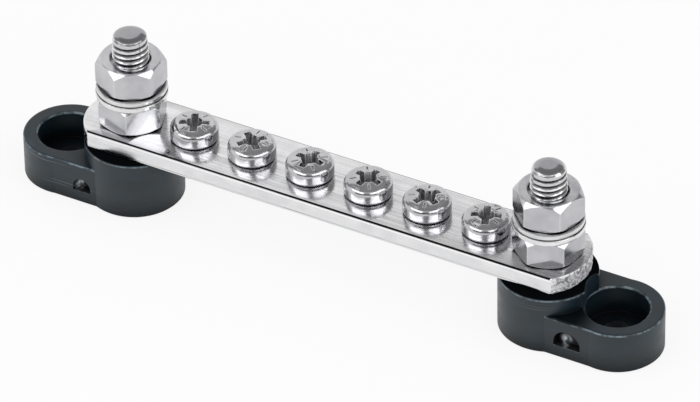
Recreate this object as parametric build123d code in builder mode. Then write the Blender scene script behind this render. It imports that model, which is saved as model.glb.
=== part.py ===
from build123d import *

import os
from math import cos, radians, sin, sqrt, tan

# Six-way bus bar on two insulated feet
# A plated bar carries a row of terminal screws between two threaded studs.
# Each stud is a hexagon head screw that comes up through a moulded foot and the bar.
# A lower nut clamps foot and bar, and an upper nut with its washers holds the cable lug.
# X runs along the bar, Z points up, and the origin lies under the middle of the bar.

# Layout along the bar
stud_spacing = 74.8
screw_count = 6
screw_pitch = 10.5
screw_row_shift = 0.2

# Bar
bar_width = 13.3
bar_thickness = 3.1
bar_end_overhangs = {"left": 7.9, "right": 6.8}
bar_end_bow = 3.3
bar_edge_break = 0.25

# Terminal screw with pan head and cross recess
screw_diameter = 4.0
screw_length = 6.0
screw_head_diameter = 7.8
screw_head_height = 3.1
screw_head_edge_radius = 0.3
screw_head_crown = 0.15
screw_seat_diameter = 6.9
screw_seat_rise = 0.7
screw_point_chamfer = 0.5
recess_span = 4.9
recess_slot_width = 1.2
recess_core_diameter = 2.8
recess_depth = 2.0
recess_draft = 9.0
tick_length = 1.1
tick_width = 0.3
tick_depth = 0.2
tick_start_radius = 1.85
tapped_clearance = 0.05
screw_turns = (25.0, 49.0, -5.0, -13.0, -26.0, 22.0)

# Stud, an all-thread hexagon head screw
stud_diameter = 5.8
stud_length = 25.0
stud_head_across_flats = 10.0
stud_head_height = 4.0
stud_head_face_diameter = 9.6
stud_point_chamfer = 0.5
stud_hole_clearance = 0.2

# Nuts
nut_across_flats = 10.0
nut_height = 5.0
nut_face_diameter = 9.7
nut_seat_diameter = 9.8
hex_face_angle = 48.0
hex_seat_angle = 38.0
nut_bore_countersink = 0.5
lower_nut_turns = (49.4, 22.0)
top_nut_turns = (31.9, 15.0)

# Washers between the two nuts
flat_washer_diameter = 11.7
flat_washer_thickness = 1.0
flat_washer_edge = 0.15
spring_washer_diameter = 11.5
spring_washer_thickness = 1.0
spring_washer_edge = 0.2
spring_split_width = 0.7
spring_split_slant = 25.0
spring_split_turns = (110.0, 75.0)
washer_clearance = 0.2

# Moulded foot
foot_boss_radius = 8.0
foot_boss_height = 11.1
foot_boss_rim = 1.15
foot_web_half_width = 7.4
eyelet_distance = 12.1
eyelet_radius = 7.5
eyelet_height = 7.4
eyelet_rim = 0.35
foot_base_rim = 0.3
mounting_hole_diameter = 4.8
counterbore_diameter = 10.2
counterbore_floor = 2.5
counterbore_rim = 0.3
head_pocket_clearance = 0.1
head_pocket_margin = 1.8

# Arched gate recess in each long side of the foot
gate_widths = {"front": 4.6, "back": 3.2}
gate_distances = {"front": 7.0, "back": 5.7}
gate_straight_height = 0.8
gate_depth = 1.1
gate_draft = 24.0
gate_sill_height = 2.3

# Heights worked out from the stack
bar_bottom = foot_boss_height
bar_top = bar_bottom + bar_thickness
lower_nut_base = bar_top
flat_washer_base = lower_nut_base + nut_height
spring_washer_base = flat_washer_base + flat_washer_thickness
top_nut_base = spring_washer_base + spring_washer_thickness
stud_head_base = head_pocket_margin
stud_seat = stud_head_base + stud_head_height

# The same pieces stand at both ends of the bar
sides = ("left", "right")
stud_places = {"left": -stud_spacing / 2, "right": stud_spacing / 2}
foot_angles = {"left": 180.0, "right": 0.0}

os.makedirs("parts", exist_ok=True)


def turned_plane(x, z, angle):
    """A level plane at height z on the bar's middle line, turned about the vertical."""
    direction = (cos(radians(angle)), sin(radians(angle)), 0)
    return Plane(origin=(x, 0, z), x_dir=direction, z_dir=(0, 0, 1))


def round_edges(builder, radius):
    """The circular edges of a piece that have this radius."""
    return builder.edges().filter_by(GeomType.CIRCLE).filter_by(lambda edge: abs(edge.radius - radius) < 0.01)


def save(piece, name):
    """Label a finished piece and write it to its own file."""
    piece.label = name
    export_step(piece, f"parts/{name}.step")


# Bar with rounded ends, two stud holes and a row of tapped holes
def make_bar():
    half = bar_width / 2
    left_tip = -stud_spacing / 2 - bar_end_overhangs["left"]
    right_tip = stud_spacing / 2 + bar_end_overhangs["right"]
    left_end = left_tip + bar_end_bow
    right_end = right_tip - bar_end_bow
    with BuildPart() as bar:
        with BuildSketch(Plane.XY.offset(bar_bottom)):
            with BuildLine():
                Line((left_end, half), (right_end, half))
                ThreePointArc((right_end, half), (right_tip, 0), (right_end, -half))
                Line((right_end, -half), (left_end, -half))
                ThreePointArc((left_end, -half), (left_tip, 0), (left_end, half))
            make_face()
        extrude(amount=bar_thickness)
        rims = bar.faces().filter_by(Axis.Z).edges()
        chamfer(rims, length=bar_edge_break)
        with Locations((screw_row_shift, 0, bar_top)):
            with GridLocations(screw_pitch, 1, screw_count, 1):
                Hole(screw_diameter / 2 + tapped_clearance)
        with Locations((0, 0, bar_top)):
            with GridLocations(stud_spacing, 1, 2, 1):
                Hole(stud_diameter / 2 + stud_hole_clearance)
    return bar.part


# Terminal screw with a domed pan head, seated on the bar
def make_terminal_screw(x, turn):
    head_radius = screw_head_diameter / 2
    seat_radius = screw_seat_diameter / 2
    shoulder = screw_head_height - screw_head_crown - screw_head_edge_radius
    flat_radius = head_radius - screw_head_edge_radius
    point_radius = screw_diameter / 2 - screw_point_chamfer
    head_plane = turned_plane(x, bar_top, turn)
    top_plane = head_plane.offset(screw_head_height)
    with BuildPart() as screw:
        with BuildSketch(Plane(origin=(x, 0, bar_top), x_dir=(1, 0, 0), z_dir=(0, -1, 0))):
            with BuildLine():
                Line((0, -screw_length), (point_radius, -screw_length))
                Line((point_radius, -screw_length), (screw_diameter / 2, -screw_length + screw_point_chamfer))
                Line((screw_diameter / 2, -screw_length + screw_point_chamfer), (screw_diameter / 2, 0))
                Line((screw_diameter / 2, 0), (seat_radius, 0))
                TangentArc((head_radius, screw_seat_rise), (seat_radius, 0), tangent=(0, -1))
                side = Line((head_radius, screw_seat_rise), (head_radius, shoulder))
                edge = TangentArc(
                    side @ 1, (flat_radius, shoulder + screw_head_edge_radius), tangent=side % 1
                )
                crown = ThreePointArc(
                    edge @ 1,
                    (flat_radius / 2, screw_head_height - screw_head_crown / 4),
                    (0, screw_head_height),
                )
                Line(crown @ 1, (0, -screw_length))
            make_face()
        revolve(axis=Axis((x, 0, 0), (0, 0, 1)))
        with BuildSketch(top_plane):
            Rectangle(recess_span, recess_slot_width)
            Rectangle(recess_slot_width, recess_span)
            Circle(recess_core_diameter / 2)
        extrude(amount=-recess_depth, taper=recess_draft, mode=Mode.SUBTRACT)
        with BuildSketch(top_plane):
            with PolarLocations(tick_start_radius + tick_length / 2, 4, start_angle=45):
                Rectangle(tick_length, tick_width)
        extrude(amount=-tick_depth - screw_head_crown, mode=Mode.SUBTRACT)
    return screw.part


# Hexagon with a turned chamfer on both ends
def make_hexagon(plane, across_flats, height, seat_diameter, face_diameter):
    corner_radius = across_flats / sqrt(3)
    rise = (corner_radius - seat_diameter / 2) * tan(radians(hex_seat_angle))
    drop = (corner_radius - face_diameter / 2) * tan(radians(hex_face_angle))
    with BuildPart() as hexagon:
        with BuildSketch(plane):
            RegularPolygon(across_flats / 2, 6, major_radius=False)
        extrude(amount=height)
        with BuildSketch(Plane(plane.origin, x_dir=plane.x_dir, z_dir=-plane.y_dir)):
            with BuildLine():
                Polyline(
                    (0, 0),
                    (seat_diameter / 2, 0),
                    (corner_radius, rise),
                    (corner_radius, height - drop),
                    (face_diameter / 2, height),
                    (0, height),
                    (0, 0),
                )
            make_face()
        revolve(axis=Axis(plane.origin, plane.z_dir), mode=Mode.INTERSECT)
    return hexagon.part


# Nut on the stud, with a countersunk bore at both ends
def make_nut(x, base, turn):
    plane = turned_plane(x, base, turn)
    bore = stud_diameter / 2 + tapped_clearance
    with BuildPart() as nut:
        add(make_hexagon(plane, nut_across_flats, nut_height, nut_seat_diameter, nut_face_diameter))
        with Locations((x, 0, base + nut_height)):
            Hole(bore)
        chamfer(round_edges(nut, bore), length=nut_bore_countersink)
    return nut.part


# Stud, with its head in the pocket under the foot and its thread drawn plain
def make_stud(side):
    x = stud_places[side]
    face = stud_head_face_diameter
    head_plane = turned_plane(x, stud_head_base, foot_angles[side])
    with BuildPart() as stud:
        add(make_hexagon(head_plane, stud_head_across_flats, stud_head_height, face, face))
        with BuildSketch(Plane.XY.offset(stud_seat)):
            with Locations((x, 0)):
                Circle(stud_diameter / 2)
        extrude(amount=stud_length)
        point = stud.edges().filter_by(GeomType.CIRCLE).sort_by(Axis.Z)[-1]
        chamfer(point, length=stud_point_chamfer)
    return stud.part


# Flat washer on the lower nut
def make_flat_washer(x):
    with BuildPart() as washer:
        with BuildSketch(Plane.XY.offset(flat_washer_base)):
            with Locations((x, 0)):
                Circle(flat_washer_diameter / 2)
                Circle(stud_diameter / 2 + washer_clearance, mode=Mode.SUBTRACT)
        extrude(amount=flat_washer_thickness)
        chamfer(round_edges(washer, flat_washer_diameter / 2), length=flat_washer_edge)
    return washer.part


# Spring washer squeezed flat under the upper nut, with its slanted split
def make_spring_washer(x, split_turn):
    middle = spring_washer_base + spring_washer_thickness / 2
    ring_width = spring_washer_diameter / 2 - stud_diameter / 2
    direction = (cos(radians(split_turn)), sin(radians(split_turn)), 0)
    outward = Plane(origin=(x, 0, middle), x_dir=(0, 0, 1), z_dir=direction)
    split_plane = outward.rotated((0, 0, spring_split_slant)).offset(stud_diameter / 2)
    with BuildPart() as washer:
        with BuildSketch(Plane.XY.offset(spring_washer_base)):
            with Locations((x, 0)):
                Circle(spring_washer_diameter / 2)
                Circle(stud_diameter / 2 + washer_clearance, mode=Mode.SUBTRACT)
        extrude(amount=spring_washer_thickness)
        chamfer(round_edges(washer, spring_washer_diameter / 2), length=spring_washer_edge)
        with BuildSketch(split_plane):
            Rectangle(4 * spring_washer_thickness, spring_split_width)
        extrude(amount=2 * ring_width, mode=Mode.SUBTRACT)
    return washer.part


# Moulded foot: a tall boss under the bar and a low eyelet for the mounting screw
def make_foot(side):
    x = stud_places[side]
    base = turned_plane(x, 0, foot_angles[side])
    pocket_depth = stud_seat
    pocket_flats = stud_head_across_flats + 2 * head_pocket_clearance
    with BuildPart(base) as foot:
        with BuildSketch(base):
            with Locations((eyelet_distance, 0)):
                Circle(eyelet_radius)
            with Locations((eyelet_distance / 2, 0)):
                Rectangle(eyelet_distance, 2 * foot_web_half_width)
            Circle(foot_boss_radius)
        extrude(amount=eyelet_height)
        fillet(foot.edges().group_by(Axis.Z)[-1], radius=eyelet_rim)
        with BuildSketch(base):
            Circle(foot_boss_radius)
        extrude(amount=foot_boss_height)
        fillet(foot.edges().group_by(Axis.Z)[-1], radius=foot_boss_rim)
        chamfer(foot.edges().group_by(Axis.Z)[0], length=foot_base_rim)

        # Mounting hole, open upwards past the side of the boss
        with BuildSketch(base.offset(counterbore_floor)):
            with Locations((eyelet_distance, 0)):
                Circle(counterbore_diameter / 2)
        extrude(amount=foot_boss_height, mode=Mode.SUBTRACT)
        with Locations((eyelet_distance, 0, counterbore_floor)):
            Hole(mounting_hole_diameter / 2)
        with BuildSketch(base.offset(eyelet_height)):
            with Locations((eyelet_distance, 0)):
                Circle(counterbore_diameter / 2 + counterbore_rim)
        extrude(amount=-counterbore_rim, taper=45, mode=Mode.SUBTRACT)

        # Stud hole with the hexagon pocket that keeps the head from turning
        with Locations((0, 0, foot_boss_height)):
            Hole(stud_diameter / 2 + stud_hole_clearance)
        with BuildSketch(base):
            RegularPolygon(pocket_flats / 2, 6, major_radius=False)
        extrude(amount=pocket_depth, mode=Mode.SUBTRACT)

        # Arched gate recesses, one in each long side
        for face, distance in gate_distances.items():
            sign = -1 if face == "front" else 1
            width = gate_widths[face]
            corner = base.from_local_coords((distance, sign * foot_web_half_width, gate_sill_height))
            outward = base.y_dir * sign
            along = outward.cross(base.z_dir) * -1
            with BuildSketch(Plane(origin=corner, x_dir=along, z_dir=outward)):
                with Locations((0, gate_straight_height / 2)):
                    Rectangle(width, gate_straight_height)
                with Locations((0, gate_straight_height)):
                    Circle(width / 2)
                with Locations((0, -width)):
                    Rectangle(2 * width, 2 * width, mode=Mode.SUBTRACT)
            extrude(amount=-gate_depth, taper=gate_draft, mode=Mode.SUBTRACT)
    return foot.part


save(make_bar(), "bus_bar")

for number in range(screw_count):
    screw_x = screw_row_shift + (number - (screw_count - 1) / 2) * screw_pitch
    save(make_terminal_screw(screw_x, screw_turns[number]), f"terminal_screw_{number + 1}")

for index, side in enumerate(sides):
    stud_x = stud_places[side]
    save(make_foot(side), f"foot_{side}")
    save(make_stud(side), f"stud_{side}")
    save(make_nut(stud_x, lower_nut_base, lower_nut_turns[index]), f"lower_nut_{side}")
    save(make_flat_washer(stud_x), f"flat_washer_{side}")
    save(make_spring_washer(stud_x, spring_split_turns[index]), f"spring_washer_{side}")
    save(make_nut(stud_x, top_nut_base, top_nut_turns[index]), f"top_nut_{side}")
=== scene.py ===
import math

import bmesh
import bpy
from mathutils import Matrix, Vector, noise


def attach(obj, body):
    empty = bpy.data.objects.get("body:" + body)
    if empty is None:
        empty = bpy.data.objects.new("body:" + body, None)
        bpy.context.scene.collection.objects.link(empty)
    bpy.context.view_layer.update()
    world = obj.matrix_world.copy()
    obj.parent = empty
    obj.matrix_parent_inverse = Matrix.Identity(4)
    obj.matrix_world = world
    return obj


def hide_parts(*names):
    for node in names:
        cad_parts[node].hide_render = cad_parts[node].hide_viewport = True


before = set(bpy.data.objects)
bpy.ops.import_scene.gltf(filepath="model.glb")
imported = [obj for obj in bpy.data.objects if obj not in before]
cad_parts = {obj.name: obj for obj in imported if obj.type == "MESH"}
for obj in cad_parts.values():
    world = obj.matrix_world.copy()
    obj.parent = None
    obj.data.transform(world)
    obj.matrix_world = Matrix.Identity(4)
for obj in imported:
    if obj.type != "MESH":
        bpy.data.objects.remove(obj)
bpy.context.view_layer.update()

# The camera stands to the front right of the bus bar and well above it, with a long lens, as the photographer did.
# Its place was solved from the edges of the bar, nuts and feet in the photograph.
MM = 0.001
view_azimuth, view_elevation, view_roll = 29.384, 36.884, -1.057
view_distance, aim_height = 1096.44 * MM, 15.48 * MM
frame_width_px, focal_px = 700, 6950.87
frame_shift_px = (-12.067, -24.732)
az, el, roll = (math.radians(v) for v in (view_azimuth, view_elevation, view_roll))
back = Vector((math.sin(az) * math.cos(el), -math.cos(az) * math.cos(el), math.sin(el)))
level = Vector((math.cos(az), math.sin(az), 0))
above = back.cross(level)
right = level * math.cos(roll) + above * math.sin(roll)
upward = above * math.cos(roll) - level * math.sin(roll)
lens = bpy.data.cameras.new("camera")
lens.sensor_fit = "HORIZONTAL"
lens.sensor_width = 36.0
lens.lens = focal_px / frame_width_px * lens.sensor_width
lens.shift_x = -frame_shift_px[0] / frame_width_px
lens.shift_y = frame_shift_px[1] / frame_width_px
camera = bpy.data.objects.new("camera", lens)
bpy.context.scene.collection.objects.link(camera)
camera.matrix_world = (Matrix.Translation(Vector((0, 0, aim_height)) + back * view_distance)
                       @ Matrix((right, upward, back)).transposed().to_4x4())
bpy.context.scene.camera = camera
bpy.context.scene.view_settings.view_transform = "Standard"


# The studio: a white paper sweep under white light, two soft boxes at the front left and front right, and boards
# round about and overhead. Only shiny metal shows the boards, as the greys and dark lines that give it its shape.
def linear(hex_colour):
    channels = [int(hex_colour[i:i + 2], 16) / 255 for i in (1, 3, 5)]
    return [c / 12.92 if c <= 0.04045 else ((c + 0.055) / 1.055) ** 2.4 for c in channels] + [1.0]


def add_node(tree, kind, inputs=None, **settings):
    node = tree.nodes.new(kind)
    for name, value in settings.items():
        setattr(node, name, value)
    for name, value in (inputs or {}).items():
        socket = node.inputs[name]
        if isinstance(value, bpy.types.NodeSocket):
            tree.links.new(value, socket)
        else:
            socket.default_value = value
    return node


def new_material(name):
    material = bpy.data.materials.new(name)
    material.use_nodes = True
    material.node_tree.nodes.clear()
    return material, material.node_tree


def studio_place(azimuth, elevation, distance, lean=0):
    # azimuth is counted from +X towards +Y, and the thing placed there faces the middle of the object
    a, e, tilt = (math.radians(v) for v in (azimuth, elevation, lean))
    out = Vector((math.cos(a) * math.cos(e), math.sin(a) * math.cos(e), math.sin(e)))
    across = Vector((-math.sin(a), math.cos(a), 0))
    upright = out.cross(across)
    facing = Matrix((across * math.cos(tilt) + upright * math.sin(tilt),
                     upright * math.cos(tilt) - across * math.sin(tilt), out)).transposed().to_4x4()
    return Matrix.Translation(out * distance) @ facing


def board(name, azimuth, elevation, distance, width, height, brightness, lean=0):
    bpy.ops.mesh.primitive_plane_add(size=1)
    card = bpy.context.object
    card.name = name
    card.data.transform(Matrix.Diagonal((width, height, 1, 1)))
    card.matrix_world = studio_place(azimuth, elevation, distance, lean)
    material, tree = new_material(name + "_paper")
    glow = add_node(tree, "ShaderNodeEmission", {"Color": linear("#ffffff"), "Strength": brightness})
    add_node(tree, "ShaderNodeOutputMaterial", {"Surface": glow.outputs[0]})
    card.data.materials.append(material)
    card.visible_camera = False
    card.visible_diffuse = False
    card.visible_shadow = False


def soft_box(name, azimuth, elevation, distance, width, height, power):
    lamp = bpy.data.lights.new(name, "AREA")
    lamp.shape = "RECTANGLE"
    lamp.size = width
    lamp.size_y = height
    lamp.energy = power
    thing = bpy.data.objects.new(name, lamp)
    bpy.context.scene.collection.objects.link(thing)
    thing.matrix_world = studio_place(azimuth, elevation, distance)


def seen_directly(tree):
    # 1 where the eye or the metal looks at a thing, and 0 where its light only falls on the object
    path = add_node(tree, "ShaderNodeLightPath")
    seen = path.outputs["Is Camera Ray"]
    for ray in ("Is Glossy Ray", "Is Transmission Ray"):
        seen = add_node(tree, "ShaderNodeMath", {0: seen, 1: path.outputs[ray]}, operation="MAXIMUM").outputs[0]
    return seen


sweep_width = 6.0
bpy.ops.mesh.primitive_plane_add(size=sweep_width)
floor = bpy.context.object
floor.name = "floor"
material, tree = new_material("white_paper_sweep")
paper = add_node(tree, "ShaderNodeBsdfPrincipled", {"Base Color": linear("#fafafa"), "Roughness": 0.9,
                                                    "Specular IOR Level": 0.1})
# the eye and the metal see the paper mostly washed out to white, so the shadow on it stays faint
wash = add_node(tree, "ShaderNodeMath", {0: seen_directly(tree), 1: 0.85}, operation="MULTIPLY")
white = add_node(tree, "ShaderNodeEmission", {"Color": linear("#ffffff"), "Strength": 1.0})
shader = add_node(tree, "ShaderNodeMixShader", {0: wash.outputs[0], 1: paper.outputs[0], 2: white.outputs[0]})
add_node(tree, "ShaderNodeOutputMaterial", {"Surface": shader.outputs[0]})
floor.data.materials.append(material)
# a hair below the feet, so that the two faces don't fight for the same level when seen from below
floor.data.transform(Matrix.Translation((0, 0, -0.01 * MM)))

# azimuth and elevation in degrees, then distance, width and height in metres, and brightness
board("board_far", 112, 53.2, 1.25, 2.6, 0.58, 0.36, lean=26)
board("board_over", 119, 89.9, 1.1, 1.3, 1.3, 0.34)
board("board_side", 178, 33, 1.3, 0.6, 0.5, 0.35)
board("board_right", 45, 32, 1.4, 1.0, 1.3, 0.3)
board("board_front", 299, 40, 1.5, 1.2, 0.6, 0.4)
board("board_low", 290, 13, 1.45, 3.4, 0.68, 0.06)

# the same for the lamps, with their power in watts
soft_box("lamp_front_left", 245, 40, 1.2, 1.2, 0.42, 3.3)
soft_box("lamp_front_right", 346, 39, 1.2, 1.45, 0.42, 4.0)

world = bpy.data.worlds.new("studio")
bpy.context.scene.world = world
world.use_nodes = True
tree = world.node_tree
tree.nodes.clear()
soft = add_node(tree, "ShaderNodeBackground", {"Color": linear("#ffffff"), "Strength": 0.66})
white = add_node(tree, "ShaderNodeBackground", {"Color": linear("#ffffff"), "Strength": 1.0})
sky = add_node(tree, "ShaderNodeMixShader", {0: seen_directly(tree), 1: soft.outputs[0], 2: white.outputs[0]})
add_node(tree, "ShaderNodeOutputWorld", {"Surface": sky.outputs[0]})


# The two feet are moulded in black glass-filled nylon. The mould is spark eroded, so the skin is satin with a fine
# grain, and the glass shows as faint flow marks. Rims that look partly upwards carry a painted highlight in patches.
foot_nylon, tree = new_material("glass_filled_nylon_moulded")
space = add_node(tree, "ShaderNodeTexCoord")
# the scales count repeats per metre: the grain is 0.3 mm, the flow marks 6 by 2.4 mm and the patches that break up the
# painted highlight 1.1 mm
grain = add_node(tree, "ShaderNodeTexNoise", {"Vector": space.outputs["Object"], "Scale": 3000.0, "Detail": 3.0})
stretched = add_node(tree, "ShaderNodeMapping", {"Vector": space.outputs["Object"], "Scale": (160, 160, 420)})
flow = add_node(tree, "ShaderNodeTexNoise", {"Vector": stretched.outputs[0], "Scale": 1.0, "Detail": 3.0,
                                             "Distortion": 0.6})
patch_noise = add_node(tree, "ShaderNodeTexNoise", {"Vector": space.outputs["Object"], "Scale": 900.0, "Detail": 4.0})
rounded = add_node(tree, "ShaderNodeBevel", {"Radius": 0.16 * MM}, samples=6)
facing = add_node(tree, "ShaderNodeSeparateXYZ", {0: rounded.outputs[0]})
lower = add_node(tree, "ShaderNodeMapRange", {"Value": facing.outputs["Z"], "From Min": 0.05, "From Max": 0.16})
place = add_node(tree, "ShaderNodeSeparateXYZ", {0: space.outputs["Object"]})
# the painted highlight is only a thin line at the foot of the boss's big rim, and covers the low rims right over
limit = add_node(tree, "ShaderNodeMapRange", {"Value": place.outputs["Z"], "From Min": 7.6 * MM, "From Max": 9.4 * MM,
                                              "To Min": 0.85, "To Max": 0.3})
above = add_node(tree, "ShaderNodeMath", {0: limit.outputs[0], 1: facing.outputs["Z"]}, operation="SUBTRACT")
upper = add_node(tree, "ShaderNodeMapRange", {"Value": above.outputs[0], "From Min": 0.0, "From Max": 0.12})
# painted highlight: every rim that looks partly upwards is lightened, in patches
edge = add_node(tree, "ShaderNodeMath", {0: lower.outputs[0], 1: upper.outputs[0]}, operation="MULTIPLY")
patchiness = add_node(tree, "ShaderNodeMapRange", {"Value": patch_noise.outputs["Fac"], "From Min": 0.42, "From Max": 0.58,
                                               "To Min": 0.1, "To Max": 1.0})
rim_highlight_and_scratches = add_node(tree, "ShaderNodeMath", {0: edge.outputs[0], 1: patchiness.outputs[0]}, operation="MULTIPLY")
# a few thin scratches, up to 22 mm long and 0.4 mm apart, run round the walls
drawn = add_node(tree, "ShaderNodeMapping", {"Vector": space.outputs["Object"], "Scale": (45, 45, 2400),
                                             "Rotation": (0.0, 0.12, 0.0)})
lines = add_node(tree, "ShaderNodeTexNoise", {"Vector": drawn.outputs[0], "Scale": 1.0, "Detail": 1.0})
scratch = add_node(tree, "ShaderNodeMapRange", {"Value": lines.outputs["Fac"], "From Min": 0.7, "From Max": 0.76,
                                                "To Min": 0.0, "To Max": 0.5})
rim_highlight_and_scratches = add_node(tree, "ShaderNodeMath", {0: rim_highlight_and_scratches.outputs[0], 1: scratch.outputs[0]}, operation="MAXIMUM")
tone = add_node(tree, "ShaderNodeMapRange", {"Value": flow.outputs["Fac"], "From Min": 0.35, "From Max": 0.65})
skin = add_node(tree, "ShaderNodeMix", {0: tone.outputs[0], 6: linear("#0b1a22"), 7: linear("#142630")},
                data_type="RGBA")
colour = add_node(tree, "ShaderNodeMix", {0: rim_highlight_and_scratches.outputs[0], 6: skin.outputs[2], 7: linear("#6a7a82")},
                  data_type="RGBA")
# painted shade: the corners and hollows, where little light reaches, are painted nearly black
shade = add_node(tree, "ShaderNodeAmbientOcclusion", {"Distance": 7.0 * MM}, samples=8)
painted_hollow_shade = add_node(tree, "ShaderNodeMapRange", {"Value": shade.outputs["AO"], "From Min": 0.82, "From Max": 0.45})
colour = add_node(tree, "ShaderNodeMix", {0: painted_hollow_shade.outputs[0], 6: colour.outputs[2], 7: linear("#0b0f12")},
                  data_type="RGBA")
# painted shadow: the top of the boss under the bar and the front web of the right foot in the bar's shade are painted
# nearly black, and lose their shine
upwards = add_node(tree, "ShaderNodeMapRange", {"Value": facing.outputs["Z"], "From Min": 0.26, "From Max": 0.4})
high = add_node(tree, "ShaderNodeMapRange", {"Value": place.outputs["Z"], "From Min": 8.6 * MM, "From Max": 9.2 * MM})
along = add_node(tree, "ShaderNodeMath", {0: place.outputs["X"]}, operation="ABSOLUTE")
inner = add_node(tree, "ShaderNodeMapRange", {"Value": along.outputs[0], "From Min": 49.0 * MM,
                                              "From Max": 45.5 * MM})
low = add_node(tree, "ShaderNodeMapRange", {"Value": place.outputs["Z"], "From Min": 6.9 * MM, "From Max": 7.2 * MM})
near = add_node(tree, "ShaderNodeMapRange", {"Value": place.outputs["Y"], "From Min": 1.0 * MM,
                                             "From Max": -1.0 * MM, "To Min": 0.0, "To Max": 0.85})
right_foot = add_node(tree, "ShaderNodeMath", {0: place.outputs["X"], 1: 0.0}, operation="GREATER_THAN")
for limit in (low, near, right_foot):
    inner = add_node(tree, "ShaderNodeMath", {0: inner.outputs[0], 1: limit.outputs[0]}, operation="MULTIPLY")
painted_shadow = add_node(tree, "ShaderNodeMath", {0: high.outputs[0], 1: inner.outputs[0]}, operation="MAXIMUM")
painted_shadow = add_node(tree, "ShaderNodeMath", {0: painted_shadow.outputs[0], 1: upwards.outputs[0]}, operation="MULTIPLY")
colour = add_node(tree, "ShaderNodeMix", {0: painted_shadow.outputs[0], 6: colour.outputs[2], 7: linear("#07090b")},
                  data_type="RGBA")
# the gate was broken off inside its recess, which is painted black as shade, with a painted glint low in it
across = add_node(tree, "ShaderNodeMath", {0: place.outputs["Y"]}, operation="ABSOLUTE")
sunk = add_node(tree, "ShaderNodeMapRange", {"Value": across.outputs[0], "From Min": 7.38 * MM,
                                             "From Max": 7.3 * MM})
gate_x, gate_z = 44.0 * MM, 4.0 * MM
gate_half_width, gate_half_height = 3.2 * MM, 2.2 * MM
beside = add_node(tree, "ShaderNodeMath", {0: along.outputs[0], 1: gate_x, 2: gate_half_width}, operation="COMPARE")
level = add_node(tree, "ShaderNodeMath", {0: place.outputs["Z"], 1: gate_z, 2: gate_half_height}, operation="COMPARE")
deep = add_node(tree, "ShaderNodeMapRange", {"Value": across.outputs[0], "From Min": 5.9 * MM, "From Max": 6.0 * MM})
gate = sunk
for limit in (beside, level, deep):
    gate = add_node(tree, "ShaderNodeMath", {0: gate.outputs[0], 1: limit.outputs[0]}, operation="MULTIPLY")
glint_distance = add_node(tree, "ShaderNodeCombineXYZ", {"X": along.outputs[0], "Z": place.outputs["Z"]})
glint_distance = add_node(tree, "ShaderNodeVectorMath", {0: glint_distance.outputs[0], 1: (43.9 * MM, 0.0, 3.3 * MM)},
                operation="DISTANCE")
painted_glint_spot = add_node(tree, "ShaderNodeMapRange", {"Value": glint_distance.outputs["Value"], "From Min": 1.1 * MM,
                                               "From Max": 0.2 * MM})
painted_glint = add_node(tree, "ShaderNodeMath", {0: painted_glint_spot.outputs[0], 1: patchiness.outputs[0]}, operation="MULTIPLY")
gate_shade_and_glint = add_node(tree, "ShaderNodeMix", {0: painted_glint.outputs[0], 6: linear("#050607"), 7: linear("#c4ccd0")},
                     data_type="RGBA")
colour = add_node(tree, "ShaderNodeMix", {0: gate.outputs[0], 6: colour.outputs[2], 7: gate_shade_and_glint.outputs[2]},
                  data_type="RGBA")
dull = add_node(tree, "ShaderNodeMath", {0: 1.0, 1: painted_shadow.outputs[0]}, operation="SUBTRACT")
shine = add_node(tree, "ShaderNodeMapRange", {"Value": shade.outputs["AO"], "From Min": 0.4, "From Max": 0.8,
                                              "To Min": 0.05, "To Max": 0.5})
shine = add_node(tree, "ShaderNodeMath", {0: shine.outputs[0], 1: dull.outputs[0]}, operation="MULTIPLY")
gloss = add_node(tree, "ShaderNodeMapRange", {"Value": flow.outputs["Fac"], "From Min": 0.3, "From Max": 0.7,
                                              "To Min": 0.34, "To Max": 0.48})
bump = add_node(tree, "ShaderNodeBump", {"Height": grain.outputs["Fac"], "Strength": 0.3, "Distance": 0.04 * MM,
                                         "Normal": rounded.outputs[0]})
shader = add_node(tree, "ShaderNodeBsdfPrincipled", {
    "Base Color": colour.outputs[2], "Roughness": gloss.outputs[0], "IOR": 1.53,
    "Specular IOR Level": shine.outputs[0], "Normal": bump.outputs[0]})
add_node(tree, "ShaderNodeOutputMaterial", {"Surface": shader.outputs[0]})
for side in ("left", "right"):
    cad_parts["foot_" + side].data.materials[0] = foot_nylon


# Each stud is a hexagon head screw of stainless steel, put in from below. Its thread is rolled with round crests,
# which carry a painted highlight, and roots painted in shade, and its cropped end is slightly domed and duller than
# the thread.
def group_tree(name, sizes):
    tree = bpy.data.node_groups.new(name, "GeometryNodeTree")
    tree.interface.new_socket("Geometry", in_out="OUTPUT", socket_type="NodeSocketGeometry")
    for label, kind in sizes:
        tree.interface.new_socket(label, in_out="INPUT", socket_type=kind)
    return tree, add_node(tree, "NodeGroupInput")


def ring_grid(tree, columns, rows):
    # a net of columns round the axis and rows along the profile, with its turn and row number for each point
    grid = add_node(tree, "GeometryNodeMeshGrid", {"Size X": 1.0, "Size Y": 1.0, "Vertices X": columns,
                                                   "Vertices Y": rows})
    place = add_node(tree, "ShaderNodeSeparateXYZ", {0: add_node(tree, "GeometryNodeInputPosition").outputs[0]})
    turn = add_node(tree, "ShaderNodeMath", {0: place.outputs["X"], 1: 0.5}, operation="ADD")
    share = add_node(tree, "ShaderNodeMath", {0: place.outputs["Y"], 1: 0.5}, operation="ADD")
    return grid.outputs["Mesh"], turn.outputs[0], share.outputs[0]


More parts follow.
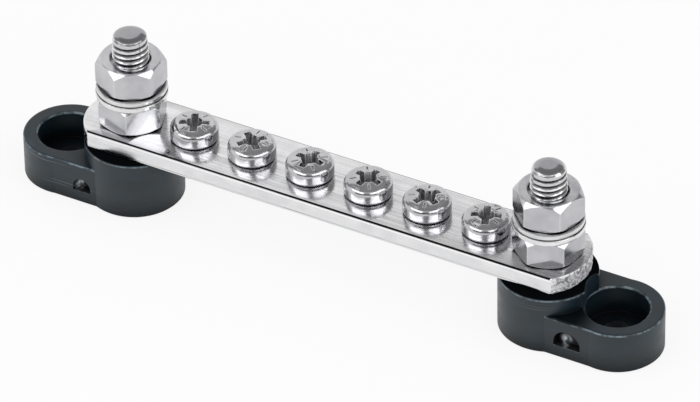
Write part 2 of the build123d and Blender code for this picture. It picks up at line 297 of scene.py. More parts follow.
def wrap_round(tree, net, angle, radius, height, centre):
    across = add_node(tree, "ShaderNodeMath", {0: angle}, operation="COSINE")
    along = add_node(tree, "ShaderNodeMath", {0: angle}, operation="SINE")
    x = add_node(tree, "ShaderNodeMath", {0: across.outputs[0], 1: radius, 2: centre}, operation="MULTIPLY_ADD")
    y = add_node(tree, "ShaderNodeMath", {0: along.outputs[0], 1: radius}, operation="MULTIPLY")
    point = add_node(tree, "ShaderNodeCombineXYZ", {"X": x.outputs[0], "Y": y.outputs[0], "Z": height})
    moved = add_node(tree, "GeometryNodeSetPosition", {"Geometry": net, "Position": point.outputs[0]})
    return add_node(tree, "GeometryNodeMergeByDistance", {"Geometry": moved.outputs[0], "Distance": 1e-6}).outputs[0]


LENGTH, COUNT = "NodeSocketFloat", "NodeSocketInt"
cap_rows = 8.0
thread_tree, given = group_tree("rolled_thread", [
    ("Crest Diameter", LENGTH), ("Thread Depth", LENGTH), ("Pitch", LENGTH), ("Bottom", LENGTH), ("Top", LENGTH),
    ("Point Chamfer", LENGTH), ("Point Taper", LENGTH), ("Crown", LENGTH), ("Centre X", LENGTH), ("Columns", COUNT),
    ("Rows", COUNT)])
net, turn, share = ring_grid(thread_tree, given.outputs["Columns"], given.outputs["Rows"])
last_row = add_node(thread_tree, "ShaderNodeMath", {0: given.outputs["Rows"], 1: 1.0}, operation="SUBTRACT")
row = add_node(thread_tree, "ShaderNodeMath", {0: share, 1: last_row.outputs[0]}, operation="MULTIPLY")
# the first row closes the lower end and the cap's rows the slightly domed upper one
cap_start = add_node(thread_tree, "ShaderNodeMath", {0: last_row.outputs[0], 1: cap_rows},
                     operation="SUBTRACT").outputs[0]
cap = add_node(thread_tree, "ShaderNodeMapRange", {"Value": row.outputs[0], "From Min": cap_start,
                                                   "From Max": last_row.outputs[0]}).outputs[0]
body_top = add_node(thread_tree, "ShaderNodeMath", {0: given.outputs["Top"], 1: given.outputs["Crown"]},
                    operation="SUBTRACT").outputs[0]
height = add_node(thread_tree, "ShaderNodeMapRange", {
    "Value": row.outputs[0], "From Min": 1.0, "From Max": cap_start, "To Min": given.outputs["Bottom"],
    "To Max": body_top}, clamp=True).outputs[0]
phase = add_node(thread_tree, "ShaderNodeMath", {0: height, 1: given.outputs["Pitch"]}, operation="DIVIDE")
phase = add_node(thread_tree, "ShaderNodeMath", {0: phase.outputs[0], 1: turn}, operation="SUBTRACT")
phase = add_node(thread_tree, "ShaderNodeMath", {0: phase.outputs[0], 1: 0.5}, operation="PINGPONG")
cut = add_node(thread_tree, "ShaderNodeMapRange", {
    "Value": phase.outputs[0], "From Min": 0.08, "From Max": 0.5, "To Min": 0.0,
    "To Max": given.outputs["Thread Depth"]}, interpolation_type="SMOOTHSTEP")
crest = add_node(thread_tree, "ShaderNodeMath", {0: given.outputs["Crest Diameter"], 1: 0.5}, operation="MULTIPLY")
flank = add_node(thread_tree, "ShaderNodeMath", {0: crest.outputs[0], 1: cut.outputs[0]}, operation="SUBTRACT")
to_top = add_node(thread_tree, "ShaderNodeMath", {0: body_top, 1: height}, operation="SUBTRACT")
narrowed = add_node(thread_tree, "ShaderNodeMath", {0: crest.outputs[0], 1: given.outputs["Point Chamfer"]},
                    operation="SUBTRACT")
point = add_node(thread_tree, "ShaderNodeMath", {0: narrowed.outputs[0], 1: to_top.outputs[0]}, operation="ADD")
started = add_node(thread_tree, "ShaderNodeMath", {0: to_top.outputs[0], 1: 0.12,
                                                   2: crest.outputs[0]}, operation="MULTIPLY_ADD")
started = add_node(thread_tree, "ShaderNodeMath", {0: started.outputs[0], 1: given.outputs["Point Taper"]},
                   operation="SUBTRACT")
radius = flank
for limit in (point, started):
    radius = add_node(thread_tree, "ShaderNodeMath", {0: radius.outputs[0], 1: limit.outputs[0]}, operation="MINIMUM")
first = add_node(thread_tree, "ShaderNodeMath", {0: row.outputs[0], 1: 0.5}, operation="GREATER_THAN")
left_over = add_node(thread_tree, "ShaderNodeMath", {0: 1.0, 1: cap}, operation="SUBTRACT")
inside = add_node(thread_tree, "ShaderNodeMath", {0: first.outputs[0], 1: left_over.outputs[0]}, operation="MULTIPLY")
radius = add_node(thread_tree, "ShaderNodeMath", {0: radius.outputs[0], 1: inside.outputs[0]}, operation="MULTIPLY")
drop = add_node(thread_tree, "ShaderNodeMapRange", {"Value": left_over.outputs[0], "From Min": 0.72, "From Max": 1.0})
dome = add_node(thread_tree, "ShaderNodeMath", {0: 1.0, 1: drop.outputs[0]}, operation="SUBTRACT")
height = add_node(thread_tree, "ShaderNodeMath", {0: dome.outputs[0], 1: given.outputs["Crown"], 2: height},
                  operation="MULTIPLY_ADD").outputs[0]
angle = add_node(thread_tree, "ShaderNodeMath", {0: turn, 1: math.tau}, operation="MULTIPLY")
thread = wrap_round(thread_tree, net, angle.outputs[0], radius.outputs[0], height, given.outputs["Centre X"])
add_node(thread_tree, "NodeGroupOutput", {"Geometry": thread})

hexagon_tree, given = group_tree("hexagon_blank", [
    ("Across Flats", LENGTH), ("Height", LENGTH), ("Bore Diameter", LENGTH), ("Countersink", LENGTH),
    ("Seat Diameter", LENGTH), ("Face Diameter", LENGTH), ("Seat Slope", LENGTH), ("Face Slope", LENGTH),
    ("Turn", LENGTH), ("Centre X", LENGTH), ("Base Z", LENGTH), ("Columns", COUNT)])
profile_rows = 9
net, turn, share = ring_grid(hexagon_tree, given.outputs["Columns"], profile_rows)
row = add_node(hexagon_tree, "ShaderNodeMath", {0: share, 1: profile_rows - 1.0, 2: 0.5}, operation="MULTIPLY_ADD")
angle = add_node(hexagon_tree, "ShaderNodeMath", {0: turn, 1: math.tau}, operation="MULTIPLY")
sixth = add_node(hexagon_tree, "ShaderNodeMath", {0: angle.outputs[0], 1: math.pi / 6, 2: -math.pi / 6},
                 operation="WRAP")
flatness = add_node(hexagon_tree, "ShaderNodeMath", {0: sixth.outputs[0]}, operation="COSINE")
half = {name: add_node(hexagon_tree, "ShaderNodeMath", {0: given.outputs[name], 1: 0.5},
                       operation="MULTIPLY").outputs[0]
        for name in ("Across Flats", "Bore Diameter", "Seat Diameter", "Face Diameter")}
side = add_node(hexagon_tree, "ShaderNodeMath", {0: half["Across Flats"], 1: flatness.outputs[0]},
                operation="DIVIDE").outputs[0]
rim = add_node(hexagon_tree, "ShaderNodeMath", {0: half["Bore Diameter"], 1: given.outputs["Countersink"]},
               operation="ADD").outputs[0]
ends = {}
for name, slope in (("Seat Diameter", "Seat Slope"), ("Face Diameter", "Face Slope")):
    past = add_node(hexagon_tree, "ShaderNodeMath", {0: side, 1: half[name]}, operation="SUBTRACT")
    past = add_node(hexagon_tree, "ShaderNodeMath", {0: past.outputs[0], 1: 0.0}, operation="MAXIMUM")
    ends[name] = add_node(hexagon_tree, "ShaderNodeMath", {0: past.outputs[0], 1: given.outputs[slope]},
                          operation="MULTIPLY").outputs[0]
upper = add_node(hexagon_tree, "ShaderNodeMath", {0: given.outputs["Height"], 1: ends["Face Diameter"]},
                 operation="SUBTRACT").outputs[0]
sunk = add_node(hexagon_tree, "ShaderNodeMath", {0: given.outputs["Height"], 1: given.outputs["Countersink"]},
                operation="SUBTRACT").outputs[0]
bore, seat, face = half["Bore Diameter"], half["Seat Diameter"], half["Face Diameter"]
# the profile runs from the bore outwards under the seat, up the flat, and back over the face
corners = [(bore, given.outputs["Countersink"]), (rim, 0.0), (seat, 0.0), (side, ends["Seat Diameter"]),
           (side, upper), (face, given.outputs["Height"]), (rim, given.outputs["Height"]), (bore, sunk),
           (bore, given.outputs["Countersink"])]
chosen = []
for part in (0, 1):
    switch = add_node(hexagon_tree, "GeometryNodeIndexSwitch", data_type="FLOAT")
    while len(switch.index_switch_items) < profile_rows:
        switch.index_switch_items.new()
    hexagon_tree.links.new(row.outputs[0], switch.inputs["Index"])
    for number, corner in enumerate(corners):
        socket = switch.inputs[str(number)]
        if isinstance(corner[part], float):
            socket.default_value = corner[part]
        else:
            hexagon_tree.links.new(corner[part], socket)
    chosen.append(switch.outputs[0])
raised = add_node(hexagon_tree, "ShaderNodeMath", {0: chosen[1], 1: given.outputs["Base Z"]}, operation="ADD")
turned = add_node(hexagon_tree, "ShaderNodeMath", {0: angle.outputs[0], 1: given.outputs["Turn"]}, operation="ADD")
blank = wrap_round(hexagon_tree, net, turned.outputs[0], chosen[0], raised.outputs[0], given.outputs["Centre X"])
add_node(hexagon_tree, "NodeGroupOutput", {"Geometry": blank})


def nodes_to_piece(name, tree, material, sizes, bevel=None):
    # runs the tree once on an empty mesh, and keeps the result as a plain mesh at the origin
    holder = bpy.data.objects.new(name, bpy.data.meshes.new(name))
    bpy.context.scene.collection.objects.link(holder)
    modifier = holder.modifiers.new("made", "NODES")
    modifier.node_group = tree
    for item in tree.interface.items_tree:
        if item.in_out == "INPUT":
            modifier[item.identifier] = sizes[item.name]
    bpy.context.view_layer.update()
    made = bpy.data.meshes.new_from_object(holder.evaluated_get(bpy.context.evaluated_depsgraph_get()))
    holder.modifiers.remove(modifier)
    empty = holder.data
    holder.data = made
    bpy.data.meshes.remove(empty)
    made.name = name
    tidy = bmesh.new()
    tidy.from_mesh(made)
    bmesh.ops.dissolve_degenerate(tidy, edges=tidy.edges, dist=1e-7)
    bmesh.ops.recalc_face_normals(tidy, faces=tidy.faces)
    tidy.to_mesh(made)
    tidy.free()
    made.shade_smooth()
    made.set_sharp_from_angle(angle=math.radians(25))
    if bevel:
        add_bevel(holder, bevel)
    return holder


def add_bevel(piece, width):
    rounding = piece.modifiers.new("rounding", "BEVEL")
    rounding.width = width
    rounding.segments = 2
    rounding.limit_method = "ANGLE"
    rounding.angle_limit = math.radians(25)
    rounding.harden_normals = True


def finished_tree(name, groups, sizes):
    # joins the named groups, passes every size on to them, and gives the whole its material
    tree, given = group_tree(name, sizes + [("Material", "NodeSocketMaterial")])
    join = add_node(tree, "GeometryNodeJoinGeometry")
    for group, renamed in groups:
        part = add_node(tree, "GeometryNodeGroup", node_tree=group)
        for socket in part.inputs:
            tree.links.new(given.outputs[renamed.get(socket.name, socket.name)], socket)
        tree.links.new(part.outputs[0], join.inputs[0])
    real = add_node(tree, "GeometryNodeRealizeInstances", {0: join.outputs[0]})
    clad = add_node(tree, "GeometryNodeSetMaterial", {"Geometry": real.outputs[0],
                                                      "Material": given.outputs["Material"]})
    add_node(tree, "NodeGroupOutput", {"Geometry": clad.outputs[0]})
    return tree


def sizes_of(tree):
    return [(item.name, item.socket_type) for item in tree.interface.items_tree if item.in_out == "INPUT"]


def bright_metal(name, dark, light, smooth, rough, repeats_per_metre, bump_depth, edge_radius, painted_shade_from=0.68):
    # bright metal with faint 4 mm patches and a painted white highlight along its edges
    # the last argument is the share of open view below which painted shade starts to darken the colour
    material, tree = new_material(name)
    space = add_node(tree, "ShaderNodeTexCoord")
    fine = add_node(tree, "ShaderNodeTexNoise", {"Vector": space.outputs["Object"], "Scale": repeats_per_metre,
                                                 "Detail": 3.0})
    patches = add_node(tree, "ShaderNodeTexNoise", {"Vector": space.outputs["Object"], "Scale": 260.0, "Detail": 2.0})
    rounded = add_node(tree, "ShaderNodeBevel", {"Radius": edge_radius}, samples=4)
    facet = add_node(tree, "ShaderNodeNewGeometry")
    alike = add_node(tree, "ShaderNodeVectorMath", {0: rounded.outputs[0], 1: facet.outputs["True Normal"]},
                     operation="DOT_PRODUCT")
    # painted highlight: where the rounded normal leaves the true one, at edges, the colour goes white and less
    # metallic
    edge = add_node(tree, "ShaderNodeMapRange", {"Value": alike.outputs["Value"], "From Min": 0.99,
                                                 "From Max": 0.88, "To Min": 0.0, "To Max": 1.0})
    tone = add_node(tree, "ShaderNodeMapRange", {"Value": patches.outputs["Fac"], "From Min": 0.35,
                                                 "From Max": 0.65})
    plate = add_node(tree, "ShaderNodeMix", {0: tone.outputs[0], 6: linear(dark), 7: linear(light)},
                     data_type="RGBA")
    with_painted_light = add_node(tree, "ShaderNodeMix", {0: edge.outputs[0], 6: plate.outputs[2], 7: linear("#f6f6f6")},
                    data_type="RGBA")
    # painted shade: where little of the room is in view, in seams, contact lines and recesses, the colour darkens to
    # near black
    shade = add_node(tree, "ShaderNodeAmbientOcclusion", {"Distance": 0.7 * MM}, samples=6)
    painted_shade = add_node(tree, "ShaderNodeMapRange", {"Value": shade.outputs["AO"], "From Min": painted_shade_from - 0.5,
                                                 "From Max": painted_shade_from, "To Min": 1.0, "To Max": 0.0})
    colour = add_node(tree, "ShaderNodeMix", {0: painted_shade.outputs[0], 6: with_painted_light.outputs[2], 7: linear("#2c2c2e")},
                      data_type="RGBA")
    polish = add_node(tree, "ShaderNodeMapRange", {"Value": fine.outputs["Fac"], "From Min": 0.3, "From Max": 0.7,
                                                   "To Min": smooth, "To Max": rough})
    gloss = add_node(tree, "ShaderNodeMix", {0: edge.outputs[0], 2: polish.outputs[0], 3: 0.5})
    bright = add_node(tree, "ShaderNodeMapRange", {"Value": edge.outputs[0], "To Min": 1.0, "To Max": 0.2})
    bump = add_node(tree, "ShaderNodeBump", {"Height": fine.outputs["Fac"], "Strength": 0.3,
                                             "Distance": bump_depth, "Normal": rounded.outputs[0]})
    shader = add_node(tree, "ShaderNodeBsdfPrincipled", {
        "Base Color": colour.outputs[2], "Metallic": bright.outputs[0], "Roughness": gloss.outputs[0],
        "Normal": bump.outputs[0]})
    add_node(tree, "ShaderNodeOutputMaterial", {"Surface": shader.outputs[0]})
    return material


def distance_from_axis(tree, x, y, axis_x):
    beside = add_node(tree, "ShaderNodeMath", {0: x, 1: axis_x}, operation="SUBTRACT")
    flat = add_node(tree, "ShaderNodeCombineXYZ", {"X": beside.outputs[0], "Y": y})
    return add_node(tree, "ShaderNodeVectorMath", {0: flat.outputs[0]}, operation="LENGTH").outputs["Value"]


stud_x = {"left": -37.4 * MM, "right": 37.4 * MM}
stud_steel = bright_metal("stainless_steel_rolled_thread", "#c2c2c5", "#d2d2d4", 0.1, 0.16, 900.0, 0.004 * MM,
                          0.14 * MM)
tree = stud_steel.node_tree
space = add_node(tree, "ShaderNodeTexCoord")
place = add_node(tree, "ShaderNodeSeparateXYZ", {0: space.outputs["Object"]})
# both studs stand as far from the middle, so one circle folded about it marks the thread roots of both
along = add_node(tree, "ShaderNodeMath", {0: place.outputs["X"]}, operation="ABSOLUTE")
reach = distance_from_axis(tree, along.outputs[0], place.outputs["Y"], stud_x["right"])
# painted shade: the colour darkens towards the thread roots
root = add_node(tree, "ShaderNodeMapRange", {"Value": reach, "From Min": 2.8 * MM, "From Max": 2.5 * MM,
                                             "To Min": 0.0, "To Max": 0.92})
thread_middle, thread_half = 18.0 * MM, 11.6 * MM
threaded = add_node(tree, "ShaderNodeMath", {0: place.outputs["Z"], 1: thread_middle, 2: thread_half},
                    operation="COMPARE")
dark = add_node(tree, "ShaderNodeMath", {0: root.outputs[0], 1: threaded.outputs[0]}, operation="MULTIPLY")
shader = tree.nodes["Principled BSDF"]
# painted highlight: the thread crests are whitened
crest = add_node(tree, "ShaderNodeMapRange", {"Value": reach, "From Min": 2.84 * MM, "From Max": 2.93 * MM})
crest = add_node(tree, "ShaderNodeMath", {0: crest.outputs[0], 1: threaded.outputs[0]}, operation="MULTIPLY")
mixed = add_node(tree, "ShaderNodeMix", {0: crest.outputs[0], 6: shader.inputs["Base Color"].links[0].from_socket,
                                         7: linear("#f4f4f5")}, data_type="RGBA")
mixed = add_node(tree, "ShaderNodeMix", {0: dark.outputs[0], 6: mixed.outputs[2], 7: linear("#303032")},
                 data_type="RGBA")
# the cropped end above the thread is duller than the rolled part
end = add_node(tree, "ShaderNodeMapRange", {"Value": place.outputs["Z"], "From Min": 30.35 * MM,
                                            "From Max": 30.6 * MM, "To Min": 0.0, "To Max": 0.7})
mixed = add_node(tree, "ShaderNodeMix", {0: end.outputs[0], 6: mixed.outputs[2], 7: linear("#8c8c90")},
                 data_type="RGBA")
tree.links.new(mixed.outputs[2], shader.inputs["Base Color"])
hexagon_sizes = sizes_of(hexagon_tree)
renamed = {"Columns": "Thread Columns"}
thread_sizes = [(renamed.get(name, name), kind) for name, kind in sizes_of(thread_tree) if name != "Centre X"]
stud_tree = finished_tree("stud", [(thread_tree, renamed), (hexagon_tree, {})], thread_sizes + hexagon_sizes)
for side, chamfer, taper in (("left", 0.4, 0.3), ("right", 0.6, 0.34)):
    stud = nodes_to_piece("stud_" + side + "_threaded", stud_tree, stud_steel, {
        "Crest Diameter": 5.94 * MM, "Thread Depth": 0.56 * MM, "Pitch": 1.0 * MM, "Bottom": 5.7 * MM,
        "Top": 30.8 * MM, "Point Chamfer": chamfer * MM, "Point Taper": taper * MM, "Crown": 0.34 * MM,
        "Thread Columns": 97, "Rows": 400,
        "Across Flats": 10.0 * MM, "Height": 4.0 * MM, "Bore Diameter": 0.0, "Countersink": 0.0,
        "Seat Diameter": 9.6 * MM, "Face Diameter": 9.6 * MM, "Seat Slope": math.tan(math.radians(38)),
        "Face Slope": math.tan(math.radians(48)), "Turn": math.radians(30), "Centre X": stud_x[side],
        "Base Z": 1.8 * MM, "Columns": 73, "Material": stud_steel})
    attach(stud, "root")
    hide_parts("stud_" + side)


# The bar is rolled brass strip, cropped to length and rounded at its ends, then drilled, tapped and tin plated.
# It is bright with fine streaks along the roll, and its right end shows the torn face that the crop left.
bar_top, torn_from = 14.2 * MM, 41.2 * MM
screw_x = [((i - 2.5) * 10.5 + 0.2) * MM for i in range(6)]


def make_bar():
    half, overlap = 6.65 * MM, 3.3 * MM
    left_tip, right_tip = -45.3 * MM, 44.2 * MM
    low, high, edge = 11.1 * MM, bar_top, 0.32 * MM

    def arc_end(tip, sign, count):
        # the end bows out by the overlap over the whole width, so the arc's radius follows from both
        bow_radius = (half * half + overlap * overlap) / (2 * overlap)
        reach = math.asin(half / bow_radius)
        centre = tip - sign * bow_radius
        return [(centre + sign * bow_radius * math.cos(t), bow_radius * math.sin(t))
                for t in (-sign * reach + 2 * sign * reach * i / count for i in range(count + 1))]

    right_steps, left_steps, hole_steps = 110, 60, 48
    outline = arc_end(right_tip, 1, right_steps) + arc_end(left_tip, -1, left_steps)
    steps = 5
    profile = [(edge * (1 - math.sin(t)), low + edge * (1 - math.cos(t)))
               for t in (math.pi / 2 * i / steps for i in range(steps + 1))]
    walls = 14
    inner_low, inner_high = low + edge, high - edge
    profile += [(0.0, inner_low + (inner_high - inner_low) * i / walls) for i in range(1, walls)]
    profile += [(edge * (1 - math.cos(t)), inner_high + edge * math.sin(t))
                for t in (math.pi / 2 * i / steps for i in range(steps + 1))]
    mesh = bmesh.new()
    count = len(outline)
    rings = []
    for inset, z in profile:
        ring = []
        for i, (x, y) in enumerate(outline):
            before, after = outline[i - 1], outline[(i + 1) % count]
            way = Vector((after[0] - before[0], after[1] - before[1])).normalized()
            ring.append(mesh.verts.new((x - way.y * inset, y + way.x * inset, z)))
        rings.append(ring)
    for lower, upper in zip(rings, rings[1:]):
        for i in range(count):
            j = (i + 1) % count
            mesh.faces.new((lower[i], lower[j], upper[j], upper[i]))
    holes = [(x, 3.1 * MM) for x in stud_x.values()] + [(x, 2.05 * MM) for x in screw_x]
    turns = [math.tau * i / hole_steps for i in range(hole_steps)]
    circles = {}
    for ring, z in ((rings[0], low), (rings[-1], high)):
        edges = [mesh.edges.get((ring[i], ring[(i + 1) % count])) for i in range(count)]
        for k, (x, radius) in enumerate(holes):
            loop = [mesh.verts.new((x + radius * math.cos(t), radius * math.sin(t), z)) for t in turns]
            edges += [mesh.edges.new(pair) for pair in zip(loop, loop[1:] + loop[:1])]
            circles.setdefault(k, []).append(loop)
        bmesh.ops.triangle_fill(mesh, use_beauty=True, use_dissolve=False, edges=edges)
    for lower, upper in circles.values():
        for i in range(hole_steps):
            j = (i + 1) % hole_steps
            mesh.faces.new((lower[j], lower[i], upper[i], upper[j]))
    bmesh.ops.recalc_face_normals(mesh, faces=mesh.faces)
    # the cropped end: the tear eats into the end face only, most in its lower half, and never stands proud
    for vertex in mesh.verts:
        x, y, z = vertex.co
        if x > torn_from and (abs(z - (low + high) / 2) < (high - low) / 2 - 1e-7 or z < low + edge):
            depth = min(1.0, (x - torn_from) / (0.6 * MM)) * min(1.0, (half - abs(y)) / (0.8 * MM))
            rise = (z - low) / (high - low)
            tear = noise.fractal(Vector((y * 900, z * 1900, 3.1)), 0.9, 2.1, 3)
            flake = noise.noise(Vector((y * 300, z * 500, 9.4)))
            eaten = 0.35 + 0.3 * tear + 0.35 * flake
            vertex.co.x -= depth * min(1.0, max(0.0, eaten)) * (1.2 - rise) * 0.28 * MM
    made = bpy.data.meshes.new("bar")
    mesh.to_mesh(made)
    mesh.free()
    made.shade_smooth()
    made.set_sharp_from_angle(angle=math.radians(40))
    return made


bar_tin, tree = new_material("tin_plated_brass_rolled_strip")
space = add_node(tree, "ShaderNodeTexCoord")
# the scales count repeats per metre: the streaks are 22 mm long and 0.4 mm wide, and the patches 3 mm
along = add_node(tree, "ShaderNodeMapping", {"Vector": space.outputs["Object"], "Scale": (45, 2300, 2300)})
streaks = add_node(tree, "ShaderNodeTexNoise", {"Vector": along.outputs[0], "Scale": 1.0, "Detail": 3.0,
                                                "Roughness": 0.6})
patches = add_node(tree, "ShaderNodeTexNoise", {"Vector": space.outputs["Object"], "Scale": 330.0, "Detail": 4.0})
facet = add_node(tree, "ShaderNodeNewGeometry")
facing = add_node(tree, "ShaderNodeSeparateXYZ", {0: facet.outputs["Normal"]})
tilted = add_node(tree, "ShaderNodeMapRange", {"Value": facing.outputs["Z"], "From Min": 0.996, "From Max": 0.98})
upright = add_node(tree, "ShaderNodeMapRange", {"Value": facing.outputs["Z"], "From Min": 0.1, "From Max": 0.3})
# the edges were burnished as the strip was slit, so they mirror sharply and carry no streaks
edge = add_node(tree, "ShaderNodeMath", {0: tilted.outputs[0], 1: upright.outputs[0]}, operation="MULTIPLY")
matt = add_node(tree, "ShaderNodeMapRange", {"Value": streaks.outputs["Fac"], "From Min": 0.35, "From Max": 0.68,
                                             "To Min": 0.1, "To Max": 0.34})
gloss = add_node(tree, "ShaderNodeMix", {0: edge.outputs[0], 2: matt.outputs[0], 3: 0.08})
streaked = add_node(tree, "ShaderNodeMath", {0: 0.3, 1: edge.outputs[0]}, operation="SUBTRACT", use_clamp=True)
bump = add_node(tree, "ShaderNodeBump", {"Height": streaks.outputs["Fac"], "Strength": streaked.outputs[0],
                                         "Distance": 0.03 * MM})
tone = add_node(tree, "ShaderNodeMapRange", {"Value": patches.outputs["Fac"], "From Min": 0.3, "From Max": 0.7})
plate = add_node(tree, "ShaderNodeMix", {0: tone.outputs[0], 6: linear("#dadadc"), 7: linear("#e8e8e9")},
                 data_type="RGBA")
# a painted dark reflection runs as a line along the upper corner, and below it the edge is bare and bright
corner = add_node(tree, "ShaderNodeMapRange", {"Value": facing.outputs["Z"], "From Min": 0.36, "From Max": 0.5})
drawn = add_node(tree, "ShaderNodeMath", {0: tilted.outputs[0], 1: corner.outputs[0]}, operation="MULTIPLY")
place = add_node(tree, "ShaderNodeSeparateXYZ", {0: space.outputs["Object"]})
line_middle, line_half = -0.6 * MM, 41.6 * MM
middle = add_node(tree, "ShaderNodeMath", {0: place.outputs["X"], 1: line_middle, 2: line_half}, operation="COMPARE")
drawn = add_node(tree, "ShaderNodeMath", {0: drawn.outputs[0], 1: middle.outputs[0]}, operation="MULTIPLY")
with_painted_light = add_node(tree, "ShaderNodeMix", {0: drawn.outputs[0], 6: plate.outputs[2], 7: linear("#1a1a1c")},
                data_type="RGBA")
# on the side a painted highlight runs as a bright line along the top, and a grey scrape along the bottom
steep = add_node(tree, "ShaderNodeMath", {0: facing.outputs["Z"], 1: 0.0, 2: 0.3}, operation="COMPARE")
light_line_z, light_line_half, scrape_z, scrape_half = 13.76 * MM, 0.13 * MM, 11.62 * MM, 0.07 * MM
painted_light_line = add_node(tree, "ShaderNodeMath", {0: place.outputs["Z"], 1: light_line_z, 2: light_line_half}, operation="COMPARE")
painted_light_line = add_node(tree, "ShaderNodeMath", {0: painted_light_line.outputs[0], 1: steep.outputs[0]}, operation="MULTIPLY")
scrape = add_node(tree, "ShaderNodeMath", {0: place.outputs["Z"], 1: scrape_z, 2: scrape_half}, operation="COMPARE")
for limit in (steep, tone):
    scrape = add_node(tree, "ShaderNodeMath", {0: scrape.outputs[0], 1: limit.outputs[0]}, operation="MULTIPLY")
with_painted_light = add_node(tree, "ShaderNodeMix", {0: painted_light_line.outputs[0], 6: with_painted_light.outputs[2], 7: linear("#fafafa")},
                data_type="RGBA")
with_painted_light = add_node(tree, "ShaderNodeMix", {0: scrape.outputs[0], 6: with_painted_light.outputs[2], 7: linear("#88888b")},
                data_type="RGBA")
# painted shade: the top darkens where the heads, nuts and washers stand close over it
shade = add_node(tree, "ShaderNodeAmbientOcclusion", {"Distance": 0.6 * MM}, samples=6)
painted_shade = add_node(tree, "ShaderNodeMapRange", {"Value": shade.outputs["AO"], "From Min": 0.2, "From Max": 0.6,
                                             "To Min": 1.0, "To Max": 0.0})
# the torn end is a mass of bright flakes of 0.7 mm with grey between them
flakes = add_node(tree, "ShaderNodeTexNoise", {"Vector": space.outputs["Object"], "Scale": 1500.0, "Detail": 5.0,
                                               "Distortion": 1.2})
flaked = add_node(tree, "ShaderNodeMapRange", {"Value": flakes.outputs["Fac"], "From Min": 0.4, "From Max": 0.56})
ragged = add_node(tree, "ShaderNodeMix", {0: flaked.outputs[0], 6: linear("#86868a"), 7: linear("#e2e2e4")},
                  data_type="RGBA")
past = add_node(tree, "ShaderNodeMath", {0: place.outputs["X"], 1: torn_from}, operation="GREATER_THAN")
top = add_node(tree, "ShaderNodeMath", {0: facing.outputs["Z"], 1: 0.9}, operation="GREATER_THAN")
wall = add_node(tree, "ShaderNodeMath", {0: past.outputs[0], 1: top.outputs[0]}, operation="SUBTRACT",
                use_clamp=True)
with_painted_light = add_node(tree, "ShaderNodeMix", {0: wall.outputs[0], 6: with_painted_light.outputs[2], 7: ragged.outputs[2]},
                data_type="RGBA")
gloss = add_node(tree, "ShaderNodeMix", {0: wall.outputs[0], 2: gloss.outputs[0], 3: 0.42})
rough = add_node(tree, "ShaderNodeMath", {0: wall.outputs[0], 1: painted_light_line.outputs[0]}, operation="MAXIMUM")
metal = add_node(tree, "ShaderNodeMapRange", {"Value": rough.outputs[0], "To Min": 1.0, "To Max": 0.25})
painted_shade = add_node(tree, "ShaderNodeMath", {0: painted_shade.outputs[0], 1: top.outputs[0]}, operation="MULTIPLY")
colour = add_node(tree, "ShaderNodeMix", {0: painted_shade.outputs[0], 6: with_painted_light.outputs[2], 7: linear("#39393b")},
                  data_type="RGBA")
shader = add_node(tree, "ShaderNodeBsdfPrincipled", {
    "Base Color": colour.outputs[2], "Metallic": metal.outputs[0], "Roughness": gloss.outputs[0],
    "Normal": bump.outputs[0]})
add_node(tree, "ShaderNodeOutputMaterial", {"Surface": shader.outputs[0]})
bar = bpy.data.objects.new("bar_cropped_strip", make_bar())
bpy.context.scene.collection.objects.link(bar)
bar.data.materials.append(bar_tin)
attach(bar, "root")
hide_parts("bus_bar")


# The four nuts are cold formed steel, chamfered and faced on a lathe and nickel plated. Their flats mirror the room in
# greys, and their corners and chamfers carry a painted soft white highlight.
nut_steel = bright_metal("nickel_plated_steel_turned", "#b4b4b8", "#c4c4c7", 0.1, 0.2, 700.0, 0.01 * MM, 0.3 * MM)
nut_tree = finished_tree("nut", [(hexagon_tree, {})], hexagon_sizes)
for kind, base, turns in (("lower", bar_top, (49.4, 22.0)), ("top", 21.2 * MM, (31.9, 15.0))):
    for side, turn in zip(("left", "right"), turns):
        nut = nodes_to_piece(f"{kind}_nut_{side}_turned", nut_tree, nut_steel, {
            "Across Flats": 10.0 * MM, "Height": 5.0 * MM, "Bore Diameter": 5.9 * MM, "Countersink": 0.5 * MM,
            "Seat Diameter": 9.8 * MM, "Face Diameter": 9.7 * MM, "Seat Slope": math.tan(math.radians(38)),
            "Face Slope": math.tan(math.radians(48)), "Turn": math.radians(turn + 30), "Centre X": stud_x[side],
            "Base Z": base, "Columns": 121, "Material": nut_steel}, bevel=0.05 * MM)
        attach(nut, "root")
        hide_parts(f"{kind}_nut_{side}")


# Under each upper nut lie a split spring washer and a flat washer. The flat one is stamped and tumbled bright, and the
# spring washer is rolled from wire and plated dull. Painted shade darkens the seams, and their rims carry a painted
# highlight.
def softened_copy(name, node, material, width, shape=None, joined=None):
    # a merged copy of the CAD solid with its sharp edges rounded, which its loose triangles can't take
    mesh = bmesh.new()
    mesh.from_mesh(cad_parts[node].data)
    bmesh.ops.remove_doubles(mesh, verts=mesh.verts, dist=1e-6)
    bmesh.ops.dissolve_limit(mesh, angle_limit=math.radians(1.0), verts=mesh.verts, edges=mesh.edges)
    if shape:
        for vertex in mesh.verts:
            shape(vertex.co)
    if joined:
        mesh.from_mesh(joined)
    made = bpy.data.meshes.new(name)
    mesh.to_mesh(made)
    mesh.free()
    made.materials.clear()
    made.materials.append(material)
    made.shade_smooth()
    made.set_sharp_from_angle(angle=math.radians(30))
    piece = bpy.data.objects.new(name, made)
    bpy.context.scene.collection.objects.link(piece)
    add_bevel(piece, width)
    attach(piece, "root")
    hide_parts(node)
    return piece


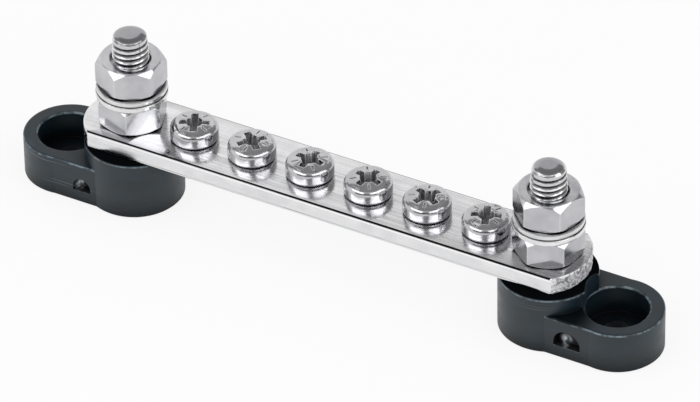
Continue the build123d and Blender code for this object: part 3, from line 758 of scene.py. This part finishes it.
washer_steel = bright_metal("nickel_plated_steel_stamped", "#dededf", "#eaeaeb", 0.1, 0.18, 900.0, 0.008 * MM,
                            0.28 * MM, painted_shade_from=0.95)
spring_steel = bright_metal("zinc_plated_spring_steel_wire", "#d2d2d4", "#e0e0e1", 0.12, 0.2, 900.0, 0.01 * MM,
                            0.28 * MM, painted_shade_from=0.95)
for side in ("left", "right"):
    washer = softened_copy(f"flat_washer_{side}_stamped", "flat_washer_" + side, washer_steel, 0.2 * MM)
    washer = softened_copy(f"spring_washer_{side}_rolled", "spring_washer_" + side, spring_steel, 0.26 * MM)


# The terminal screws are cold headed brass with a cross recess and four tick marks, nickel plated. The punch leaves
# the recess dull, its rims and ticks carry a painted white highlight, and the head is slightly domed, so that its
# front half shades to grey.
screw_plating = bright_metal("nickel_plated_brass_headed", "#b8b8bb", "#c8c8ca", 0.06, 0.12, 800.0, 0.004 * MM,
                             0.28 * MM, painted_shade_from=0.42)
tree = screw_plating.node_tree
space = add_node(tree, "ShaderNodeTexCoord")
place = add_node(tree, "ShaderNodeSeparateXYZ", {0: space.outputs["Object"]})
# the six heads repeat along the bar, so one circle folded by their spacing marks the recess in each
folded = add_node(tree, "ShaderNodeMath", {0: place.outputs["X"], 1: (screw_x[2] + screw_x[3]) / 2,
                                           2: (screw_x[3] + screw_x[4]) / 2}, operation="WRAP")
reach = distance_from_axis(tree, folded.outputs[0], place.outputs["Y"], screw_x[3])
within = add_node(tree, "ShaderNodeMapRange", {"Value": reach, "From Min": 2.6 * MM, "From Max": 2.5 * MM})
below = add_node(tree, "ShaderNodeMapRange", {"Value": place.outputs["Z"], "From Min": 16.8 * MM,
                                              "From Max": 16.65 * MM})
in_head = add_node(tree, "ShaderNodeMath", {0: place.outputs["Z"], 1: bar_top + 0.2 * MM}, operation="GREATER_THAN")
pressed = within
for limit in (below, in_head):
    pressed = add_node(tree, "ShaderNodeMath", {0: pressed.outputs[0], 1: limit.outputs[0]}, operation="MULTIPLY")
shader = tree.nodes["Principled BSDF"]
for name, slot, value in (("Base Color", 7, linear("#a8a8ab")), ("Roughness", 3, 0.5)):
    kind = "RGBA" if name == "Base Color" else "FLOAT"
    mixed = add_node(tree, "ShaderNodeMix", {0: pressed.outputs[0], slot - 1: shader.inputs[name].links[0].from_socket,
                                             slot: value}, data_type=kind)
    tree.links.new(mixed.outputs[2 if kind == "RGBA" else 0], shader.inputs[name])
tip_tree = finished_tree("screw_tip", [(thread_tree, {})], sizes_of(thread_tree))
for number, centre in enumerate(screw_x, 1):

    def pan_head(point):
        # the shoulder is pressed to a wider round and the top domed, in place of the plain shape of the solid
        out = math.hypot(point.x - centre, point.y)
        rise = point.z - bar_top
        if rise < -0.01 * MM:
            # the plain shank shrinks to a core inside the thread
            core_share, core_end = 0.72, 8.7 * MM
            point.x = centre + (point.x - centre) * core_share
            point.y *= core_share
            point.z = max(point.z, core_end)
        if out < 2.1 * MM or rise < 1.0 * MM:
            return
        top, shoulder, wall = 2.9 * MM, 0.95 * MM, 3.9 * MM
        if out < 3.5 * MM:
            wanted, lift = out, rise - 0.2 * MM * (out / (3.0 * MM)) ** 2 + 0.13 * MM * (out / (3.6 * MM)) ** 2
        elif rise > 2.6 * MM:
            turn = math.atan2(rise - 2.65 * MM, out - 3.6 * MM)
            turn = min(max(turn, 0.0), math.pi / 2)
            wanted = wall - shoulder * (1 - math.cos(turn))
            lift = top - shoulder * (1 - math.sin(turn))
        else:
            return
        point.x = centre + (point.x - centre) * wanted / out
        point.y *= wanted / out
        point.z = bar_top + lift

    # the thread is made point upwards below the floor and then turned over, so it stays right-handed
    tip = nodes_to_piece("tip", tip_tree, screw_plating, {
        "Crest Diameter": 3.9 * MM, "Thread Depth": 0.38 * MM, "Pitch": 0.7 * MM, "Bottom": -14.3 * MM,
        "Top": -8.2 * MM, "Point Chamfer": 0.5 * MM, "Point Taper": 0.0, "Crown": 0.05 * MM, "Centre X": centre,
        "Columns": 49, "Rows": 150, "Material": screw_plating})
    thread = tip.data
    bpy.data.objects.remove(tip)
    thread.transform(Matrix.Rotation(math.pi, 4, "X"))
    screw = softened_copy(f"terminal_screw_{number}_headed", f"terminal_screw_{number}", screw_plating, 0.04 * MM,
                          pan_head, thread)
